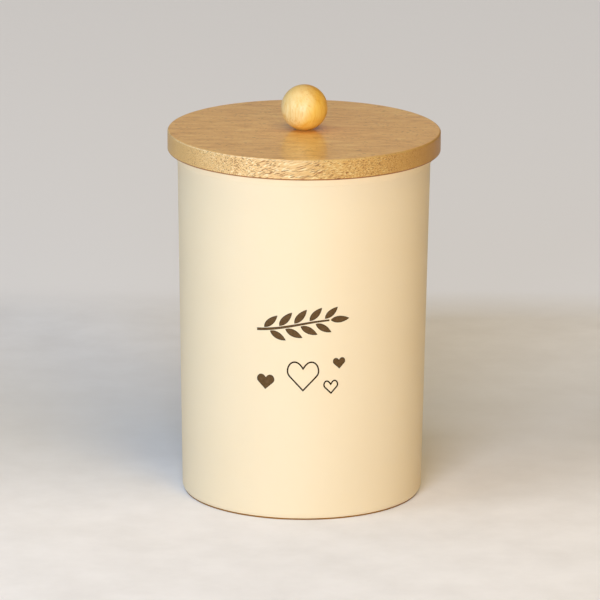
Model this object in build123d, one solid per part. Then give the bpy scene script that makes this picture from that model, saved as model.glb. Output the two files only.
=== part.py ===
"""Kitchen canister for salt: a painted sheet-steel can with a plug-in wooden lid.

The can is a slightly tapered wall of rolled sheet, hemmed outwards at the rim. A pressed pan is let
in at its foot as the base, and the wall's lower edge is turned in round the pan's rounded corner.
The lid is a turned board with a smaller board glued under it.
The lower board carries a finned silicone ring in a groove. One screw with a washer runs up through
both boards into the ball knob.

Units are millimetres. The origin is the centre of the base on the table, +Z is up, and the printed
front of the can faces -Y. Every piece is a body of revolution about Z.
"""

import math
import os

from build123d import *

# Can wall: outside diameters of the straight taper, carried on to the table and to the rim
FOOT_DIAMETER = 104.4
RIM_DIAMETER = 109.4
BODY_HEIGHT = 151.5
WALL_SHEET = 0.5
WALL_LIFT = 0.4  # the wall's turned-in lower edge stands this far above the table
HEM_HEIGHT = 3.4
HEM_GAP = 0.12  # slit left between the wall and the sheet folded back over it

# Base pan
BASE_SHEET = 0.6
BASE_FIT = 0.05  # between the pan's flange and the wall round it
FLANGE_TOP = 8.0
FOOT_CORNER = 3.0  # outside radius between the flange and the foot
FOOT_WIDTH = 5.6  # from the flange in to where the panel starts to rise
PANEL_RISE = 1.8
PANEL_STEP = 1.6  # level distance over which the panel rises
PANEL_BEND = 1.2

# Lid board
LID_DIAMETER = 118.0
LID_THICKNESS = 9.0
LID_EASING = 0.8
LID_SEAT_GAP = 0.2  # between the top of the hem and the board over it

# Plug board under the lid
PLUG_THICKNESS = 8.0
PLUG_GAP = 2.4  # between the plug's side and the wall, at the plug's lower face
PLUG_LEAD_IN = 0.8

# Silicone seal ring in the plug's groove
GROOVE_LAND = 1.4  # wood left below the groove
GROOVE_DEPTH = 2.0
SEAL_HEIGHT = 4.6
SEAL_PLAY = 0.1  # between the ring and each face of the groove
SEAL_BAND = 1.5
SEAL_FINS = 3
FIN_ROOT = 1.1  # thickness of a fin where it leaves the band's inside
FIN_TIP = 0.5
FIN_CLEARANCE = 0.3  # between a fin's tip and the wall

# Ball knob
KNOB_DIAMETER = 20.0
KNOB_FLAT_DIAMETER = 6.0
PILOT_DIAMETER = 2.7
PILOT_DEPTH = 12.5

# Screw and washer, in a counterbore under the plug
SCREW_LENGTH = 25.0
SHANK_DIAMETER = 3.5
SCREW_POINT = 3.0
HEAD_DIAMETER = 7.0
HEAD_HEIGHT = 2.4
HEAD_EDGE = 0.7
WASHER_DIAMETER = 9.0
WASHER_THICKNESS = 0.8
WASHER_HOLE_DIAMETER = 4.0
THREAD_FIT = 0.05  # between the screw's core and the pilot hole
SHANK_CLEARANCE = 0.35  # between the shank and the holes that it passes
COUNTERBORE_CLEARANCE = 0.5  # round the washer
COUNTERBORE_COVER = 0.3  # how far the head lies inside the plug's lower face

# Levels, radii and slopes that follow from the sizes above
WALL_SLOPE = (RIM_DIAMETER - FOOT_DIAMETER) / 2 / BODY_HEIGHT
LID_UNDERSIDE = BODY_HEIGHT + LID_SEAT_GAP
LID_TOP = LID_UNDERSIDE + LID_THICKNESS
PLUG_UNDERSIDE = LID_UNDERSIDE - PLUG_THICKNESS
SEAL_UNDERSIDE = PLUG_UNDERSIDE + GROOVE_LAND + SEAL_PLAY
WASHER_SEAT = PLUG_UNDERSIDE + COUNTERBORE_COVER + HEAD_HEIGHT + WASHER_THICKNESS
HEAD_SEAT = WASHER_SEAT - WASHER_THICKNESS
SHANK_HOLE_RADIUS = SHANK_DIAMETER / 2 + SHANK_CLEARANCE
COUNTERBORE_RADIUS = WASHER_DIAMETER / 2 + COUNTERBORE_CLEARANCE


def wall_outside(height):
    """Outside radius of the can's straight wall at a height above the table."""
    return FOOT_DIAMETER / 2 + WALL_SLOPE * height


def wall_inside(height):
    """Inside radius of the can's straight wall at a height above the table."""
    return wall_outside(height) - WALL_SHEET


PLUG_RADIUS = wall_inside(PLUG_UNDERSIDE) - PLUG_GAP
GROOVE_RADIUS = PLUG_RADIUS - GROOVE_DEPTH
GROOVE_HEIGHT = SEAL_HEIGHT + 2 * SEAL_PLAY


def turned(outline):
    """A solid of revolution about Z from a half profile drawn as (radius, height)."""
    return revolve(Plane.XZ * outline, Axis.Z)


def disc(radius, bottom, height):
    """A plain disc or pin on the Z axis."""
    return Pos(0, 0, bottom) * Cylinder(radius, height, align=(Align.CENTER, Align.CENTER, Align.MIN))


def bent_sheet(path, thickness):
    """The cut section of a sheet that lies to the left of a path of lines and arcs."""
    with BuildSketch() as section:
        with BuildLine():
            add(path)
            offset(amount=thickness, side=Side.LEFT)
        make_face()
    return section.sketch


def turned_in_edge():
    """The arc of the wall's outside face round the pan's foot corner, from its cut edge upwards."""
    slant = math.hypot(1, WALL_SLOPE)
    centre = (wall_inside(FOOT_CORNER) - BASE_FIT - FOOT_CORNER * slant, FOOT_CORNER)
    radius = FOOT_CORNER + (BASE_FIT + WALL_SHEET) / slant
    lowest = -math.degrees(math.asin((FOOT_CORNER - WALL_LIFT) / radius))
    highest = -math.degrees(math.atan(WALL_SLOPE))
    return CenterArc(centre, radius, lowest, highest - lowest)


def canister_wall():
    """The rolled wall: round the turned-in lower edge, up the outside face and over into the hem."""
    fold_radius = HEM_GAP / 2
    fold_level = BODY_HEIGHT - WALL_SHEET - fold_radius
    fold_start = (wall_outside(fold_level), fold_level)
    fold_top = (wall_outside(fold_level) + fold_radius, fold_level + fold_radius)
    fold_end = (wall_outside(fold_level) + HEM_GAP, fold_level)
    with BuildLine() as face:
        foot = turned_in_edge()
        Line(foot @ 1, fold_start)
        ThreePointArc(fold_start, fold_top, fold_end)
        Line(fold_end, (fold_end[0], BODY_HEIGHT - HEM_HEIGHT))
    return turned(bent_sheet(face.line, WALL_SHEET))


def canister_base():
    """The pressed pan: flange against the wall, foot ring on the table, panel raised inside it."""
    flange_foot = wall_inside(0) - BASE_FIT
    flange_head = wall_inside(FLANGE_TOP) - BASE_FIT
    foot_inside = flange_foot - FOOT_WIDTH
    corners = [
        (0, PANEL_RISE),
        (foot_inside - PANEL_STEP, PANEL_RISE),
        (foot_inside, 0),
        (flange_foot, 0),
        (flange_head, FLANGE_TOP),
    ]
    face = FilletPolyline(*corners, radius=[PANEL_BEND, PANEL_BEND, FOOT_CORNER])
    return turned(bent_sheet(face, BASE_SHEET))


def lid_board():
    """The turned board that shows, with its rims eased and a hole for the screw's shank."""
    board = disc(LID_DIAMETER / 2, LID_UNDERSIDE, LID_THICKNESS)
    board = fillet(board.edges().filter_by(GeomType.CIRCLE), LID_EASING)
    return board - disc(SHANK_HOLE_RADIUS, LID_UNDERSIDE, LID_THICKNESS)


def lid_plug():
    """The board glued under the lid: groove for the seal, counterbore for the screw's head."""
    plug = disc(PLUG_RADIUS, PLUG_UNDERSIDE, PLUG_THICKNESS)
    plug = chamfer(plug.edges().filter_by(GeomType.CIRCLE).sort_by(Axis.Z)[0], PLUG_LEAD_IN)
    groove_floor = PLUG_UNDERSIDE + GROOVE_LAND
    groove = disc(PLUG_RADIUS + GROOVE_DEPTH, groove_floor, GROOVE_HEIGHT)
    groove -= disc(GROOVE_RADIUS, groove_floor, GROOVE_HEIGHT)
    shank_hole = disc(SHANK_HOLE_RADIUS, PLUG_UNDERSIDE, PLUG_THICKNESS)
    counterbore = disc(COUNTERBORE_RADIUS, PLUG_UNDERSIDE, WASHER_SEAT - PLUG_UNDERSIDE)
    return plug - groove - shank_hole - counterbore


def seal_ring():
    """The silicone ring: a band in the groove with thin tapered fins that reach for the wall."""
    band_inside = GROOVE_RADIUS + SEAL_PLAY
    fin_reach = wall_inside(SEAL_UNDERSIDE) - FIN_CLEARANCE
    fin_pitch = (SEAL_HEIGHT - FIN_ROOT) / (SEAL_FINS - 1)
    section = Pos(band_inside, SEAL_UNDERSIDE) * Rectangle(SEAL_BAND, SEAL_HEIGHT, align=Align.MIN)
    for number in range(SEAL_FINS):
        middle = SEAL_UNDERSIDE + FIN_ROOT / 2 + number * fin_pitch
        tip = [(fin_reach, middle - FIN_TIP / 2), (fin_reach, middle + FIN_TIP / 2)]
        root = [(band_inside, middle + FIN_ROOT / 2), (band_inside, middle - FIN_ROOT / 2)]
        section += Polygon(*tip, *root, align=None)
    return turned(section)


def knob_centre():
    """Height of the ball's centre, which stands on a small turned flat."""
    radius, flat = KNOB_DIAMETER / 2, KNOB_FLAT_DIAMETER / 2
    return LID_TOP + (radius**2 - flat**2) ** 0.5


def knob():
    """The ball knob with its turned flat and the blind pilot hole for the screw."""
    ball = Pos(0, 0, knob_centre()) * Sphere(KNOB_DIAMETER / 2)
    below_flat = disc(KNOB_DIAMETER, LID_TOP - KNOB_DIAMETER, KNOB_DIAMETER)
    return ball - below_flat - disc(PILOT_DIAMETER / 2, LID_TOP, PILOT_DEPTH)


def knob_screw():
    """The pan-head wood screw: head in the counterbore, plain shank, core in the pilot hole."""
    head, shank = HEAD_DIAMETER / 2, SHANK_DIAMETER / 2
    core = PILOT_DIAMETER / 2 - THREAD_FIT
    tip = HEAD_SEAT + SCREW_LENGTH
    with BuildSketch() as outline:
        with BuildLine():
            Line((0, tip), (core, tip - SCREW_POINT))
            Line((core, tip - SCREW_POINT), (core, LID_TOP))
            Polyline((core, LID_TOP), (shank, LID_TOP - (shank - core)), (shank, HEAD_SEAT))
            Polyline((shank, HEAD_SEAT), (head, HEAD_SEAT), (head, HEAD_SEAT - HEAD_EDGE))
            rim, crown = (head, HEAD_SEAT - HEAD_EDGE), (0, HEAD_SEAT - HEAD_HEIGHT)
            TangentArc(crown, rim, tangent=(1, 0))
            Line(crown, (0, tip))
        make_face()
    return turned(outline.sketch)


def screw_washer():
    """The flat washer between the screw's head and the bottom of the counterbore."""
    washer = disc(WASHER_DIAMETER / 2, HEAD_SEAT, WASHER_THICKNESS)
    return washer - disc(WASHER_HOLE_DIAMETER / 2, HEAD_SEAT, WASHER_THICKNESS)


PIECES = [
    canister_wall,
    canister_base,
    lid_board,
    lid_plug,
    seal_ring,
    knob,
    knob_screw,
    screw_washer,
]

os.makedirs("parts", exist_ok=True)
for piece in PIECES:
    export_step(piece(), f"parts/{piece.__name__}.step")
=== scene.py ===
"""The looks of a kitchen salt canister: painted steel can, turned wooden lid and ball knob.

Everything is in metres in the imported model's frame. The origin is the centre of the base on the table,
+Z is up, and the printed front of the can faces -Y.
"""

import logging
import math
from dataclasses import dataclass
from enum import Enum
from typing import Callable, Sequence

import bmesh
import bpy
from mathutils import Euler, Matrix, Vector


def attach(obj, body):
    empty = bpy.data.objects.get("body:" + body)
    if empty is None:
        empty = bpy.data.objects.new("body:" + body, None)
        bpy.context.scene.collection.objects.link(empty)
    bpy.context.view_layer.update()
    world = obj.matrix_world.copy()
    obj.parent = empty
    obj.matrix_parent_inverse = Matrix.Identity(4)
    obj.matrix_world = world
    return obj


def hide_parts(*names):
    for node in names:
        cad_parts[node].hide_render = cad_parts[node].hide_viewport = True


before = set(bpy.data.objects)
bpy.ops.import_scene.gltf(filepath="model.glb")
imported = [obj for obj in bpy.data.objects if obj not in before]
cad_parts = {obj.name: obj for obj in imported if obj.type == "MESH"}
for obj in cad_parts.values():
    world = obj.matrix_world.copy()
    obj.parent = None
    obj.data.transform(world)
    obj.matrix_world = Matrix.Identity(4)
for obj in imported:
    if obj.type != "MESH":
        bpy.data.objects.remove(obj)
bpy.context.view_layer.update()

Point = tuple[float, float]
Vec = tuple[float, float, float]
Colour = tuple[float, float, float, float]
Knot = Sequence[Point]
Piece = bpy.types.Object
Socket = bpy.types.NodeSocket

MM = 0.001
TURNED_STEPS = 192
MERGE_DISTANCE = 1e-6
RIM_REACH = 5e-6  # a vertex this near to a rim is on it
NOISE_SPAN = (0.3, 0.7)  # nearly all of a noise lies between these two

log = logging.getLogger("canister")


class Body(Enum):
    """The rigid bodies that pieces ride on."""

    CAN = "canister"
    LID = "lid"


class Slot(Enum):
    """The record's material slots."""

    CREAM_PAINT = "cream_paint"
    LID_WOOD = "lid_wood"
    KNOB_WOOD = "knob_wood"
    SILICONE = "seal_silicone"
    STEEL = "screw_steel"


def srgb(red: int, green: int, blue: int) -> Colour:
    """Returns a screen colour, from 0 to 255 each, as the opaque linear colour that shaders take."""
    linear = [((c / 255 + 0.055) / 1.055) ** 2.4 if c > 10 else c / 255 / 12.92 for c in (red, green, blue)]
    return (linear[0], linear[1], linear[2], 1.0)


def deselect_everything() -> None:
    """Leaves edit mode and clears the selection, so that the next operator acts on its own piece alone."""
    if bpy.context.object and bpy.context.object.mode != "OBJECT":
        bpy.ops.object.mode_set(mode="OBJECT")
    bpy.ops.object.select_all(action="DESELECT")


def select_mesh() -> None:
    """Selects all of the mesh that is open in edit mode."""
    bpy.ops.mesh.select_all(action="SELECT")


def merge_doubles() -> None:
    """Merges the vertices that lie on each other, and selects all again."""
    select_mesh()
    bpy.ops.mesh.remove_doubles(threshold=MERGE_DISTANCE)
    select_mesh()


def face_outwards() -> None:
    """Turns every face of the mesh that is open in edit mode outwards."""
    select_mesh()
    bpy.ops.mesh.normals_make_consistent(inside=False)


def pick(piece: Piece) -> None:
    """Makes one piece the selected and active object.

    Args:
        piece: The piece to work on next.
    """
    deselect_everything()
    piece.select_set(True)
    bpy.context.view_layer.objects.active = piece


def edit(piece: Piece) -> None:
    """Opens one piece in edit mode."""
    pick(piece)
    bpy.ops.object.mode_set(mode="EDIT")


def settle(piece: Piece) -> None:
    """Leaves edit mode and moves the piece's place, turn and scale into its mesh."""
    pick(piece)
    bpy.ops.object.transform_apply(location=True, rotation=True, scale=True)


def apply_modifier(piece: Piece, kind: str, **settings: object) -> None:
    """Adds one modifier, sets it and applies it at once.

    Args:
        piece: The piece to change.
        kind: Blender's name for the kind of modifier.
        **settings: The modifier's own settings by name.
    """
    pick(piece)
    modifier = piece.modifiers.new(kind.title(), kind)
    for setting, value in settings.items():
        setattr(modifier, setting, value)
    bpy.ops.object.modifier_apply(modifier=modifier.name)


def smooth(piece: Piece, crease_degrees: float = 32.0) -> None:
    """Shades a piece smooth with crisp creases, and lets its large faces set the normals.

    Args:
        piece: The piece to shade.
        crease_degrees: Turns sharper than this stay crisp.
    """
    pick(piece)
    bpy.ops.object.shade_smooth_by_angle(angle=math.radians(crease_degrees))
    apply_modifier(piece, "WEIGHTED_NORMAL", keep_sharp=True, weight=80)


class Turning:
    """A mesh turned about the Z axis: its half profile is drawn as wire, spun, then eased rim by rim."""

    def __init__(self, name: str, corners: Sequence[Point], steps: int = TURNED_STEPS) -> None:
        """Draws the half profile and spins it.

        Args:
            name: The piece's name.
            corners: The profile's corners as radius and height. It stays open between two ends on the axis.
            steps: How many segments make the full turn.
        """
        deselect_everything()
        start = corners[0]
        bpy.ops.mesh.primitive_plane_add(size=MM, location=(start[0], 0.0, start[1]))
        self.piece = bpy.context.object
        self.piece.name = self.piece.data.name = name
        settle(self.piece)
        edit(self.piece)
        select_mesh()
        bpy.ops.mesh.merge(type="CENTER")
        on_axis = corners[0][0] == 0.0 and corners[-1][0] == 0.0
        route = list(corners) if on_axis else [*corners, start]
        for (radius, height), (next_radius, next_height) in zip(route, route[1:]):
            step = (next_radius - radius, 0.0, next_height - height)
            bpy.ops.mesh.extrude_region_move(TRANSFORM_OT_translate={"value": step})
        merge_doubles()
        bpy.ops.mesh.spin(steps=steps, angle=math.tau, center=(0.0, 0.0, 0.0), axis=(0.0, 0.0, 1.0))
        merge_doubles()
        face_outwards()

    def select(self, wanted: Callable[[Vector], bool]) -> None:
        """Selects the vertices that a test accepts, and the edges and faces between them.

        Args:
            wanted: Takes a vertex's place and says whether it is wanted.
        """
        bpy.ops.mesh.select_all(action="DESELECT")
        shape = bmesh.from_edit_mesh(self.piece.data)
        for vertex in shape.verts:
            vertex.select_set(wanted(vertex.co))
        shape.select_flush(True)
        bmesh.update_edit_mesh(self.piece.data)

    def ease(self, width: float, segments: int, *rims: Point) -> None:
        """Rounds turned rims, one after the other.

        Args:
            width: How far a rounding reaches along each face.
            segments: How many segments make a rounding.
            *rims: Each rim's radius and height.
        """
        for rim in rims:
            self.select(lambda place: math.dist((math.hypot(place.x, place.y), place.z), rim) < RIM_REACH)
            bpy.ops.mesh.bevel(offset=width, segments=segments, profile=0.5, affect="EDGES")

    def finished(self, crease_degrees: float = 32.0) -> Piece:
        """Shades the turned piece, crisp where it turns sharper than the crease, and returns it."""
        smooth(self.piece, crease_degrees)
        return self.piece


@dataclass(frozen=True)
class Streaks:
    """One layer of grain: a noise that is drawn out along the fibres."""

    stretch: Vec
    scale: float
    detail: float = 2.0
    rough: float = 0.6


class Graph:
    """The node tree of one finish."""

    def __init__(self, name: str) -> None:
        """Starts an empty material with its output node.

        Args:
            name: The material's name.
        """
        self.material = bpy.data.materials.new(name)
        self.material.use_nodes = True
        self.tree = self.material.node_tree
        self.tree.nodes.clear()
        self.output = self.tree.nodes.new("ShaderNodeOutputMaterial")

    def node(self, kind: str, settings: dict[str, object] | None = None, **sockets: object) -> bpy.types.Node:
        """Adds a node, and sets or links its sockets.

        Args:
            kind: The node's type without its ShaderNode prefix.
            settings: The node's own properties by name.
            **sockets: Values or output sockets by input name, with underscores for spaces.

        Returns:
            The new node.
        """
        made = self.tree.nodes.new("ShaderNode" + kind)
        for setting, value in (settings or {}).items():
            setattr(made, setting, value)
        for socket, value in sockets.items():
            self.feed(made.inputs[socket.replace("_", " ")], value)
        return made

    def feed(self, socket: Socket, value: object) -> None:
        """Links an output to a socket, or sets the socket's own value.

        Args:
            socket: The input socket.
            value: An output socket or a plain value.
        """
        if isinstance(value, Socket):
            self.tree.links.new(value, socket)
        else:
            socket.default_value = value

    def math(self, operation: str, first: object, second: object = 0.0, clamp: bool = False) -> Socket:
        """Adds one sum.

        Args:
            operation: Blender's name for the sum.
            first: The first number or output.
            second: The second number or output.
            clamp: Whether the result stays between 0 and 1.

        Returns:
            The result's socket.
        """
        made = self.node("Math", {"operation": operation, "use_clamp": clamp})
        self.feed(made.inputs[0], first)
        self.feed(made.inputs[1], second)
        return made.outputs[0]

    def plus(self, first: object, second: object) -> Socket:
        """Adds two numbers or outputs."""
        return self.math("ADD", first, second)

    def minus(self, first: object, second: object) -> Socket:
        """Takes the second number or output from the first."""
        return self.math("SUBTRACT", first, second)

    def times(self, first: object, second: object) -> Socket:
        """Multiplies two numbers or outputs."""
        return self.math("MULTIPLY", first, second)

    def vectors(self, operation: str, first: object, second: object) -> bpy.types.Node:
        """Adds one sum of vectors.

        Args:
            operation: Blender's name for the sum.
            first: The first vector or output.
            second: The second vector or output.

        Returns:
            The sum's node.
        """
        made = self.node("VectorMath", {"operation": operation})
        self.feed(made.inputs[0], first)
        self.feed(made.inputs[1], second)
        return made

    def own(self, output: str) -> Socket:
        """Reads one of the piece's own coordinates, by the name of the output."""
        return self.node("TexCoord").outputs[output]

    def stretch(self, vector: Socket, scale: Vec) -> Socket:
        """Stretches a vector along each axis."""
        return self.node("Mapping", Vector=vector, Scale=scale).outputs[0]

    def place(self, turn: Vec = (0.0, 0.0, 0.0), scale: Vec = (1.0, 1.0, 1.0)) -> Socket:
        """Reads the piece's own coordinates, turned and then scaled.

        Args:
            turn: Rotation in degrees about each axis.
            scale: Stretch along each axis.

        Returns:
            The vector's socket.
        """
        angles = tuple(math.radians(angle) for angle in turn)
        turned = self.node("Mapping", Vector=self.own("Object"), Rotation=angles)
        return self.stretch(turned.outputs[0], scale)

    def noise(self, where: Socket, scale: float, detail: float = 2.0, rough: float = 0.5) -> Socket:
        """Returns a noise of about 0.5, read at a vector, with some finer layers of some strength."""
        return self.node("TexNoise", Vector=where, Scale=scale, Detail=detail, Roughness=rough).outputs[0]

    def streaks(self, along: Socket, layer: Streaks) -> Socket:
        """Adds one layer of grain, read at a vector along the fibres."""
        return self.noise(self.stretch(along, layer.stretch), layer.scale, layer.detail, layer.rough)

    def steps(self, value: object, stops: Sequence[tuple[float, Colour]]) -> Socket:
        """Turns a value into a colour through a ramp.

        Args:
            value: The value's socket.
            stops: Places from 0 to 1, each with its colour.

        Returns:
            The colour's socket.
        """
        ramp = self.node("ValToRGB", Fac=value)
        elements = ramp.color_ramp.elements
        while len(elements) < len(stops):
            elements.new(0.5)
        for element, (place, colour) in zip(elements, stops):
            element.position = place
            element.color = colour
        return ramp.outputs[0]

    def blend(self, share: object, first: object, second: object, mode: str = "MIX") -> Socket:
        """Mixes two colours.

        Args:
            share: How much of the second colour shows.
            first: The first colour.
            second: The second colour.
            mode: Blender's name for the kind of mix.

        Returns:
            The mixed colour's socket.
        """
        made = self.node("Mix", {"data_type": "RGBA", "blend_type": mode})
        for number, value in ((0, share), (6, first), (7, second)):
            self.feed(made.inputs[number], value)
        return made.outputs[2]

    def tint(self, share: object, first: object, second: object) -> Socket:
        """Multiplies a colour by a second one, as far as the share says."""
        return self.blend(share, first, second, "MULTIPLY")

    def spread(
        self, value: object, low: float, high: float, to_low: float = 0.0, to_high: float = 1.0
    ) -> Socket:
        """Maps a value from one range to another, and holds it inside.

        Args:
            value: The value's socket.
            low: The value that becomes to_low.
            high: The value that becomes to_high.
            to_low: The result at low.
            to_high: The result at high.

        Returns:
            The result's socket.
        """
        made = self.node("MapRange", Value=value)
        for socket, number in zip(made.inputs[1:5], (low, high, to_low, to_high)):
            socket.default_value = number
        return made.outputs[0]

    def bump(self, height: object, distance: float, strength: float = 1.0, under: object = None) -> Socket:
        """Turns a height pattern into a bumped normal.

        Args:
            height: The height's socket, from 0 to 1.
            distance: How deep a height of 1 is, in metres.
            strength: How much of it shows.
            under: The normal's socket of a bump that lies under this one.

        Returns:
            The normal's socket.
        """
        made = self.node("Bump", Height=height, Distance=distance, Strength=strength)
        if under is not None:
            self.feed(made.inputs["Normal"], under)
        return made.outputs[0]

    def skin(self, **sockets: object) -> bpy.types.Material:
        """Adds the main shader and ends the material.

        Args:
            **sockets: The shader's inputs by name, with underscores for spaces.

        Returns:
            The finished material.
        """
        shader = self.node("BsdfPrincipled", **sockets)
        self.tree.links.new(shader.outputs[0], self.output.inputs[0])
        return self.material


@dataclass(frozen=True)
class PowderCoat:
    """Satin powder coat on steel: an even colour with a fine orange peel."""

    name: str
    colour: Colour
    shade: Colour
    roughness: float = 0.48
    specular: float = 0.25
    cloud_scale: float = 28.0
    cloud_share: float = 0.35
    peel_scale: float = 700.0
    peel_depth: float = 0.03 * MM
    grit_scale: float = 3200.0
    grit_depth: float = 0.006 * MM

    def material(self) -> bpy.types.Material:
        """Returns the finish as a material."""
        graph = Graph(self.name)
        where = graph.place()
        cloud = graph.noise(where, self.cloud_scale, 3.0)
        share = graph.spread(cloud, 0.3, 0.75, 0.0, self.cloud_share)
        peel = graph.noise(where, self.peel_scale, rough=0.4)
        grit = graph.noise(where, self.grit_scale, rough=0.6)
        return graph.skin(
            Base_Color=graph.blend(share, self.colour, self.shade),
            Roughness=graph.spread(grit, *NOISE_SPAN, self.roughness - 0.05, self.roughness + 0.06),
            Normal=graph.bump(grit, self.grit_depth, under=graph.bump(peel, self.peel_depth)),
            Specular_IOR_Level=self.specular,
        )


@dataclass(frozen=True)
class TurnedSide:
    """What the side of a turned board shows: stronger flecks in tones of its own, and rims paled by wear
    and a painted highlight. Its tones differ from the top's partly as painted light, and its lower rim is
    darkened by painted shade.

    Its pores are finer and wider, and they are shut where the fibres end. It takes less lacquer than a
    sanded face.
    """

    # Partly painted light: these tones set the side apart from the top, which has more saturated tones for
    # the weaker light it takes; the rest is the side's own look.
    pale: Colour
    mid: Colour
    deep: Colour
    rim_wear_and_highlight: Colour
    # The tint of the painted shade along the board's lower rim.
    lower_rim_shade_tint: Colour
    grain: Streaks = Streaks((0.06, 1.0, 1.0), 2500.0)
    flecks: float = 1.4
    flecks_kept_across: float = 0.2
    tone_share: float = 0.6
    rim_wear_and_highlight_share: float = 0.45
    pore_fineness: float = 1950.0
    pore_growth: float = 0.1
    pores_shut: float = 0.85
    dulling: float = 0.12
    coat_kept: float = 0.4


@dataclass(frozen=True)
class LacqueredWood:
    """Clear-lacquered wood: growth bands, fine fibres and open pores, darker where the end grain shows.

    The fibres run along X before the turn. Fibres and pores are long and thin, so they show as streaks
    where a face lies along the grain and as dots where it cuts across. A darker tint begins
    heartwood_and_shade_edge along heartwood_and_shade_way: heartwood on the knob, while on a board it shows
    only on the side, as painted shade that darkens the side towards heartwood_and_shade_way.
    """

    name: str
    pale: Colour
    mid: Colour
    deep: Colour
    pore: Colour
    end_tint: Colour
    turn: Vec = (0.0, 16.0, 2.0)
    side: TurnedSide | None = None
    bands: Streaks = Streaks((0.25, 1.0, 0.3), 260.0, 3.0, 0.55)
    streaks: Streaks = Streaks((0.14, 1.0, 1.0), 620.0, 3.0)
    fibres: Streaks = Streaks((0.09, 1.0, 1.0), 2200.0)
    crowding: Streaks = Streaks((0.1, 1.0, 1.0), 300.0, rough=0.5)
    tone_reach: float = 0.14
    figure: float = 1.0
    sway_across: float = 3.0 * MM
    sway_up: float = 2.0 * MM
    pore_share: float = 0.85
    pore_stretch: Vec = (0.07, 1.0, 1.0)
    pore_fineness: float = 1050.0
    pore_sizes: Point = (0.1, 0.24)
    pore_edge: float = 0.06
    pore_depth: float = 0.06 * MM
    heartwood_and_shade_tint: Colour = (1.0, 1.0, 1.0, 1.0)
    heartwood_and_shade_way: Vec = (1.0, 0.0, 0.0)
    heartwood_and_shade_edge: float = 0.0
    heartwood_and_shade_blend: float = 2.0 * MM
    heartwood_and_shade_sway: float = 2.0 * MM
    roughness: float = 0.38
    coat: float = 0.4
    coat_roughness: float = 0.14
    specular: float = 0.5

    def material(self) -> bpy.types.Material:
        """Returns the finish as a material."""
        graph = Graph(self.name)
        sway = graph.noise(graph.place(self.turn, (1.0, 4.0, 4.0)), 14.0)
        along = self._along(graph, sway)
        fibres = graph.streaks(along, self.fibres)
        tone = self._tone(graph, along, fibres)
        end = self._end_grain(graph)
        wood = graph.steps(
            graph.spread(tone, -self.tone_reach / self.figure, self.tone_reach / self.figure),
            [(0.0, self.deep), (0.5, self.mid), (1.0, self.pale)],
        )
        size = graph.spread(graph.streaks(along, self.crowding), 0.35, 0.65, *self.pore_sizes)
        rough = graph.spread(fibres, *NOISE_SPAN, self.roughness - 0.05, self.roughness + 0.08)
        on_side, open_share, fineness, gloss = 1.0, 1.0, self.pore_fineness, self.coat
        if self.side:
            upright = graph.node("SeparateXYZ", Vector=graph.own("Normal")).outputs["Z"]
            lean = graph.math("ABSOLUTE", upright)
            on_side = graph.spread(lean, 0.8, 0.97, 1.0, 0.0)
            wood = graph.blend(on_side, wood, self._side_wood(graph, along, tone, end, lean))
            # Painted shade: the eased lower rim is darkened, standing for the shade under the board's edge.
            wood = graph.tint(self._painted_lower_rim_shade(graph, upright), wood, self.side.lower_rim_shade_tint)
            size = graph.plus(size, graph.times(on_side, self.side.pore_growth))
            shut = graph.times(on_side, graph.spread(end, 0.45, 0.75, 0.0, self.side.pores_shut))
            open_share = graph.minus(1.0, shut)
            fineness = graph.spread(on_side, 0.0, 1.0, self.pore_fineness, self.side.pore_fineness)
            rough = graph.plus(rough, graph.times(on_side, self.side.dulling))
            gloss = graph.spread(on_side, 0.0, 1.0, self.coat, self.coat * self.side.coat_kept)
        wood = graph.tint(end, wood, self.end_tint)
        # The tint is heartwood on the knob. On the board it shows only on the side, as painted shade that
        # darkens the edge towards +X.
        wood = graph.tint(graph.times(self._heartwood_and_shade(graph, sway), on_side), wood, self.heartwood_and_shade_tint)
        cells = graph.node(
            "TexVoronoi", Vector=graph.stretch(along, self.pore_stretch), Scale=fineness, Randomness=1.0
        ).outputs["Distance"]
        pore = graph.spread(graph.minus(size, cells), 0.0, self.pore_edge, 0.0, self.pore_share)
        pore = graph.times(pore, open_share)
        relief = graph.minus(graph.times(fibres, 0.25), pore)
        return graph.skin(
            Base_Color=graph.blend(pore, wood, self.pore),
            Roughness=rough,
            Normal=graph.bump(relief, self.pore_depth, 0.7),
            Specular_IOR_Level=self.specular,
            Coat_Weight=gloss,
            Coat_Roughness=self.coat_roughness,
        )

    def _along(self, graph: Graph, sway: Socket) -> Socket:
        """Reads the place along the fibres, which sway a little.

        Args:
            graph: The node tree.
            sway: The slow noise that bends the grain.

        Returns:
            The vector's socket.
        """
        shift = graph.node(
            "CombineXYZ",
            Y=graph.spread(sway, 0.2, 0.8, -self.sway_across, self.sway_across),
            Z=graph.spread(sway, 0.2, 0.8, self.sway_up, -self.sway_up),
        )
        return graph.vectors("ADD", graph.place(self.turn), shift.outputs[0]).outputs[0]

    def _tone(self, graph: Graph, along: Socket, fibres: Socket) -> Socket:
        """Sums growth bands, streaks and fibres to one tone.

        Args:
            graph: The node tree.
            along: The vector along the fibres.
            fibres: The fine fibres.

        Returns:
            The tone's socket, about 0 on average.
        """
        bands = graph.times(graph.streaks(along, self.bands), 0.35)
        streaks = graph.times(graph.streaks(along, self.streaks), 0.3)
        return graph.minus(graph.plus(graph.plus(bands, streaks), graph.times(fibres, 0.35)), 0.5)

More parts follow.
